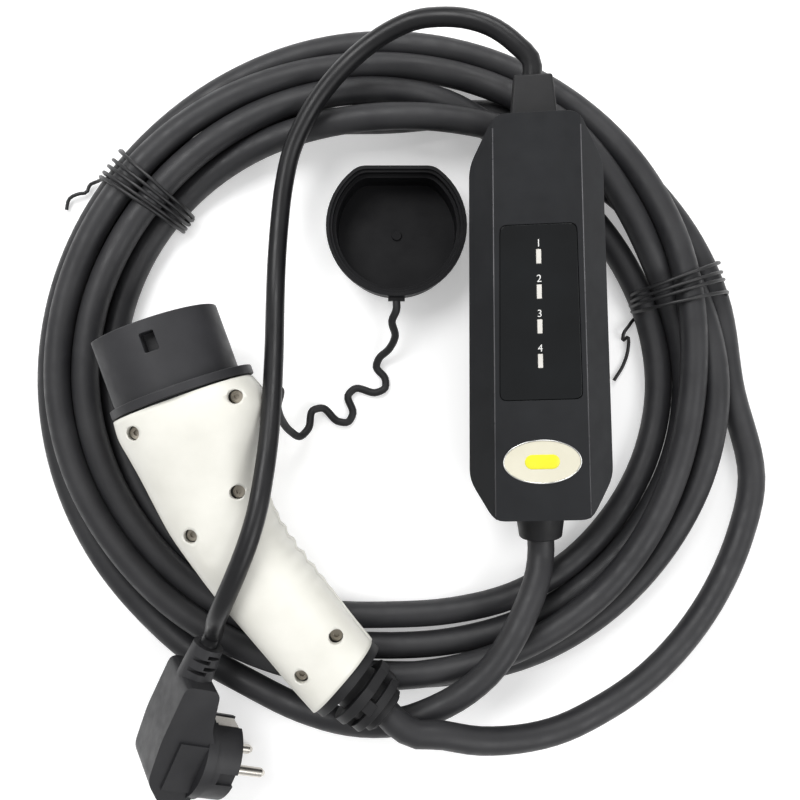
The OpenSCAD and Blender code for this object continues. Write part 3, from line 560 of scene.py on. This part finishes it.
SUBPART_SLOTS = {row["node"]: row["material_slot"] for row in frame["record"]["subparts"]}
for name, node in NODES.items():
    node.data.materials.clear()
    # The dust cap takes the darker copy of the boots' rubber, which is painted shade
    node.data.materials.append(MATERIALS["cap_rubber_painted_shade" if name == "dust_cap" else SUBPART_SLOTS[name]])
    if name in EDGE_WIDTHS:
        soften_edges(node, EDGE_WIDTHS[name])


def new_piece(name, verts, faces, material, matrix, slot):
    """A mesh piece from millimetre points in a group's own frame."""
    mesh = bpy.data.meshes.new(name)
    mesh.from_pydata([tuple(matrix @ Vector(v) * MM) for v in verts], [], faces)
    mesh.validate()
    work = bmesh.new()
    work.from_mesh(mesh)
    bmesh.ops.recalc_face_normals(work, faces=work.faces)
    work.to_mesh(mesh)
    work.free()
    mesh.polygons.foreach_set("use_smooth", [True] * len(mesh.polygons))
    mesh.materials.append(MATERIALS[material])
    piece = new_object(name, mesh)
    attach(piece, "root")
    return piece


# Handle of the connector
SHELL_WALL = 3
SQUARENESS = 0.78
SEAM_DEPTH = 0.3
HANDLE_ARC = 36
HANDLE_STEP = 2.2
# Scallops of the grip: their stretch along x, pitch and height, the turn of the section where they can begin,
# and how fast they fade away from the inner edge
GRIP_RIBS = {"from": -116, "to": -60, "pitch": 7.7, "height": 0.8, "turn": 120, "fade": 1.6}
# Soft dents in the top of the handle: the ends of each on the plan, its half width and its depth
DENTS = [((-36, -27), (-46, -24), 14, 1.8), ((-53, -8), (-70, 8), 5, 0.7)]
# Screws: place on the plan, and height of the pocket's floor and of the column below it
SCREW_SPOTS = [
    (-9, 20.5, 18), (-9, -25.5, 17), (-59, 13.5, 14), (-48, -12, 15), (-133, -10, 11), (-122, -30, 11),
]
POCKET_RADIUS = 3.1
POCKET_TOP = 45
COLUMN_RADIUS = 4.4
COLUMN_LOW = 0.1


def rounded_power(value):
    """Squares the handle's round section off a little."""
    return math.copysign(abs(value) ** SQUARENESS, value)


def grip_rib(x, turn):
    """Low scallops along the inner edge of the grip."""
    first, last = GRIP_RIBS["from"], GRIP_RIBS["to"]
    if turn <= GRIP_RIBS["turn"] or not first < x < last:
        return 0
    reach = max(0, math.cos(math.radians(180 - turn) * GRIP_RIBS["fade"]))
    swell = math.sin(math.pi * ((x - first) / (last - first)))
    return GRIP_RIBS["height"] * reach * swell * math.cos(2 * math.pi * x / GRIP_RIBS["pitch"])


def dent(x, y):
    """How far the top of the handle dips at a point of its plan."""
    dip = 0
    for start, end, half_width, depth in DENTS:
        along = Vector(end) - Vector(start)
        share = (Vector((x, y)) - Vector(start)).dot(along) / along.length_squared
        nearest = Vector(start) + min(max(share, 0), 1) * along
        away = (Vector((x, y)) - nearest).length / half_width
        dip += depth * (0.5 + 0.5 * math.cos(math.pi * min(away, 1)))
    return dip


def handle_ring(station, inset, side):
    """Half a section of the handle, from one seam over the top or the bottom to the other."""
    x, y, droop, half_width, half_depth = station
    c, s = math.cos(math.radians(droop)), math.sin(math.radians(droop))
    ring = []
    for k in range(HANDLE_ARC + 1):
        turn = 180 * k / HANDLE_ARC
        at_seam = k in (0, HANDLE_ARC)
        seam = SEAM_DEPTH if at_seam and not inset else 0
        rib = 0 if inset else grip_rib(x, turn)
        across = (half_width - inset - seam + rib) * rounded_power(math.cos(math.radians(turn)))
        spot = (x - s * across, y + c * across)
        up = 0
        if not at_seam:
            up = (half_depth - inset + rib) * rounded_power(math.sin(math.radians(turn)))
        if side > 0 and up and not inset:
            up = max(up - dent(*spot), 0)
        ring.append((*spot, side * up))
    return ring


def handle_shell(name, side, node):
    """One moulded half of the handle, with its wall, rim and inner face."""
    rings = smooth(STATIONS, HANDLE_STEP)
    verts = []
    for inset in (0, SHELL_WALL):
        for station in rings:
            verts += handle_ring(station, inset, side)
    wide = HANDLE_ARC + 1
    layer = len(rings) * wide
    faces = []
    for i in range(len(rings) - 1):
        for k in range(HANDLE_ARC):
            a = i * wide + k
            faces.append((a, a + 1, a + wide + 1, a + wide))
            faces.append((layer + a, layer + a + wide, layer + a + wide + 1, layer + a + 1))
        for edge in (0, HANDLE_ARC):
            a = i * wide + edge
            faces.append((a, a + wide, layer + a + wide, layer + a))
    for i in (0, len(rings) - 1):
        for k in range(HANDLE_ARC):
            a = i * wide + k
            faces.append((a, a + 1, layer + a + 1, layer + a))
    piece = new_piece(name, verts, faces, "handle_plastic", CONN, "handle_plastic")
    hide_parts(node)
    return piece


def rod_faces(sides):
    """Faces of a closed rod between two rings of points."""
    faces = [(k, (k + 1) % sides, sides + (k + 1) % sides, sides + k) for k in range(sides)]
    return faces + [tuple(range(sides))[::-1], tuple(range(sides, 2 * sides))]


def cylinder(radius, low, high, centre, sides=40):
    """Points and faces of an upright cylinder."""
    ring = [(math.cos(2 * math.pi * k / sides), math.sin(2 * math.pi * k / sides)) for k in range(sides)]
    verts = [(centre[0] + radius * c, centre[1] + radius * s, z) for z in (low, high) for c, s in ring]
    return verts, rod_faces(sides)


def joined(parts):
    """Several lists of points and faces as one."""
    verts, faces = [], []
    for part_verts, part_faces in parts:
        faces += [tuple(i + len(verts) for i in face) for face in part_faces]
        verts += part_verts
    return verts, faces


def carve(piece, verts, faces, matrix):
    """Cuts closed shapes out of a piece and keeps the result as its mesh."""
    mesh = bpy.data.meshes.new("cutter")
    mesh.from_pydata([tuple(matrix @ Vector(v) * MM) for v in verts], [], faces)
    cutter = new_object("cutter", mesh)
    cut = piece.modifiers.new("cut", "BOOLEAN")
    cut.operation = "DIFFERENCE"
    cut.solver = "EXACT"
    cut.object = cutter
    bpy.context.view_layer.update()
    done = bpy.data.meshes.new_from_object(piece.evaluated_get(bpy.context.evaluated_depsgraph_get()))
    piece.modifiers.clear()
    piece.data = done
    bpy.data.objects.remove(cutter)


upper = handle_shell("handle_upper", 1, "upper_shell")
pockets = [cylinder(POCKET_RADIUS, z, POCKET_TOP, (x, y)) for x, y, z in SCREW_SPOTS]
carve(upper, *joined(pockets), CONN)
handle_shell("handle_lower", -1, "lower_shell")
columns = [cylinder(COLUMN_RADIUS, COLUMN_LOW, z, (x, y)) for x, y, z in SCREW_SPOTS]
new_piece("screw_columns", *joined(columns), "handle_plastic", CONN, "handle_plastic")

# Numbers on the window, one beside each light, counted from the mains end
LIGHT_COUNT = 4
BAR_FIRST = 73.1
BAR_PITCH = 15.3
NUMERAL_SIZE = 4.6
NUMERAL_RISE = 4.2
NUMERAL_THICKNESS = 0.03
NUMERAL_DROP = 0.18
for k in range(LIGHT_COUNT):
    data = bpy.data.curves.new(f"numeral_{k + 1}", "FONT")
    data.body = str(LIGHT_COUNT - k)
    data.size = NUMERAL_SIZE * MM
    data.align_x = "CENTER"
    data.extrude = NUMERAL_THICKNESS * MM
    data.materials.append(MATERIALS["print_white"])
    numeral = new_object(f"numeral_{k + 1}", data)
    spot = BOX @ Vector((0, BAR_FIRST + k * BAR_PITCH + NUMERAL_RISE, BOX_DEPTH - NUMERAL_DROP))
    numeral.matrix_world = Matrix.Translation(spot * MM) @ BOX.to_3x3().to_4x4()
    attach(numeral, "root")

# Oval badge: its rim and a plain mark
BADGE_Y = 27.5
BADGE_HALF_LONG = 17.35
BADGE_HALF_HIGH = 9.9
RIM_RADIUS = 0.35
RIM_PROUD = 0.3
MARK_HALF_LONG = 4.5
MARK_RADIUS = 3.4
MARK_PROUD = 0.28
MARK_RISE = 0.3
# Turn of the mark's dome from its foot to the edge of its flat top
DOME_TURN = math.pi / 2.2


def oval_ring(half_long, half_high, thick, height, turns=64, sides=10):
    """A thin rounded rim along an oval."""
    verts, faces = [], []
    for i in range(turns):
        a = 2 * math.pi * i / turns
        for j in range(sides):
            b = 2 * math.pi * j / sides
            grow = thick * math.cos(b)
            x, y = (half_long + grow) * math.cos(a), (half_high + grow) * math.sin(a)
            verts.append((x, y, height + thick * math.sin(b)))
            faces.append((
                i * sides + j, (i + 1) % turns * sides + j,
                (i + 1) % turns * sides + (j + 1) % sides, i * sides + (j + 1) % sides,
            ))
    return verts, faces


def domed_pill(half_long, radius, low, rise, turns=24, rings=5):
    """A low pill with round ends and a soft dome."""
    outline = []
    for sign in (1, -1):
        for k in range(turns + 1):
            a = math.pi * (k / turns - 0.5) + (0 if sign > 0 else math.pi)
            outline.append((sign * half_long, math.cos(a), math.sin(a)))
    verts, faces = [], []
    count = len(outline)
    for i in range(rings):
        t = i / (rings - 1)
        grow = radius * math.cos(t * DOME_TURN)
        for x, c, s in outline:
            verts.append((x + grow * c, grow * s, low + rise * math.sin(t * math.pi / 2)))
    for i in range(rings - 1):
        for k in range(count):
            a = i * count + k
            b = i * count + (k + 1) % count
            faces.append((a, b, b + count, a + count))
    faces.append(tuple(range((rings - 1) * count, rings * count)))
    faces.append(tuple(range(count))[::-1])
    return verts, faces


BADGE = BOX @ Matrix.Translation((0, BADGE_Y, 0))
RIM_SHAPE = oval_ring(BADGE_HALF_LONG, BADGE_HALF_HIGH, RIM_RADIUS, BOX_DEPTH + RIM_PROUD)
new_piece("badge_rim", *RIM_SHAPE, "badge_rim", BADGE, "badge_plastic")
MARK_SHAPE = domed_pill(MARK_HALF_LONG, MARK_RADIUS, BOX_DEPTH + MARK_PROUD, MARK_RISE)
new_piece("badge_mark", *MARK_SHAPE, "badge_yellow", BADGE, "badge_plastic")

# Fine beads along the edges between the box's front and its slanted sides, paler and glossier than the box: a
# painted highlight where these rounded edges catch the light. The front's half widths are those at the
# cable's end and at the mains end.
FRONT_HALF_LOW = 21.5
FRONT_HALF_TOP = 18.5
EDGE_ENDS = (2.5, 174)
EDGE_RADIUS = 0.3
EDGE_PROUD = 0.1


def edge_bead(sign, sides=10):
    """A fine bead along one edge of the box's front, coloured as a painted highlight."""
    verts = []
    for y in EDGE_ENDS:
        x = sign * (FRONT_HALF_LOW + (FRONT_HALF_TOP - FRONT_HALF_LOW) * y / BOX_LENGTH)
        z = BOX_DEPTH + EDGE_PROUD - EDGE_RADIUS
        for k in range(sides):
            a = 2 * math.pi * k / sides
            verts.append((x + EDGE_RADIUS * math.cos(a), y, z + EDGE_RADIUS * math.sin(a)))
    return verts, rod_faces(sides)


new_piece("box_edge_highlight_beads", *joined([edge_bead(1), edge_bead(-1)]), "edge_sheen", BOX, "box_plastic")

# Floor, world and lamps
FLOOR_HALF = 3000
FLOOR_DROP = 0.2
FLOOR_GREY = 0.86
FLOOR_ROUGHNESS = 0.9
FLOOR_GLOW = 0.34
WORLD_LIGHT = 0.55
WHITE = (1, 1, 1, 1)
# Place and size in metres, power in watts
LAMPS = {
    "key": {"place": (-0.5, 0.55, 1.1), "size": 0.7, "power": 9},
    "fill": {"place": (0.7, -0.4, 0.9), "size": 0.8, "power": 5},
    "back": {"place": (0.2, 0.9, 0.7), "size": 0.5, "power": 4},
}


def make_floor():
    """A pale floor that looks white to the camera and in reflections."""
    mesh = bpy.data.meshes.new("floor")
    corners = [(-FLOOR_HALF, -FLOOR_HALF), (FLOOR_HALF, -FLOOR_HALF)]
    corners += [(FLOOR_HALF, FLOOR_HALF), (-FLOOR_HALF, FLOOR_HALF)]
    mesh.from_pydata([(x * MM, y * MM, -FLOOR_DROP * MM) for x, y in corners], [], [(0, 1, 2, 3)])
    floor = new_object("floor", mesh)
    material = bpy.data.materials.new("floor")
    material.use_nodes = True
    tree = material.node_tree
    shader = tree.nodes["Principled BSDF"]
    shader.inputs["Base Color"].default_value = (FLOOR_GREY, FLOOR_GREY, FLOOR_GREY, 1)
    shader.inputs["Roughness"].default_value = FLOOR_ROUGHNESS
    shader.inputs["Emission Color"].default_value = WHITE
    path = tree.nodes.new("ShaderNodeLightPath")
    seen = tree.nodes.new("ShaderNodeMath")
    seen.operation = "MAXIMUM"
    tree.links.new(path.outputs["Is Camera Ray"], seen.inputs[0])
    tree.links.new(path.outputs["Is Glossy Ray"], seen.inputs[1])
    glow = tree.nodes.new("ShaderNodeMath")
    glow.operation = "MULTIPLY"
    glow.inputs[1].default_value = FLOOR_GLOW
    tree.links.new(seen.outputs[0], glow.inputs[0])
    tree.links.new(glow.outputs[0], shader.inputs["Emission Strength"])
    mesh.materials.append(material)


def make_world():
    """Soft light from all sides, seen by the camera as plain white."""
    world = bpy.data.worlds.new("studio")
    world.use_nodes = True
    tree = world.node_tree
    ground = tree.nodes["Background"]
    ground.inputs["Color"].default_value = WHITE
    path = tree.nodes.new("ShaderNodeLightPath")
    strength = tree.nodes.new("ShaderNodeMapRange")
    strength.inputs["To Min"].default_value = WORLD_LIGHT
    strength.inputs["To Max"].default_value = 1
    tree.links.new(path.outputs["Is Camera Ray"], strength.inputs["Value"])
    tree.links.new(strength.outputs["Result"], ground.inputs["Strength"])
    bpy.context.scene.world = world


def make_lamp(name, place, size, power):
    """A round area lamp that points at the origin."""
    data = bpy.data.lights.new(name, "AREA")
    data.shape = "DISK"
    data.size = size
    data.energy = power
    lamp = new_object(name, data)
    lamp.location = place
    lamp.rotation_euler = (-Vector(place)).to_track_quat("-Z", "Y").to_euler()


make_floor()
make_world()
for name, lamp in LAMPS.items():
    make_lamp(name, **lamp)
bpy.context.scene.view_settings.view_transform = "Standard"
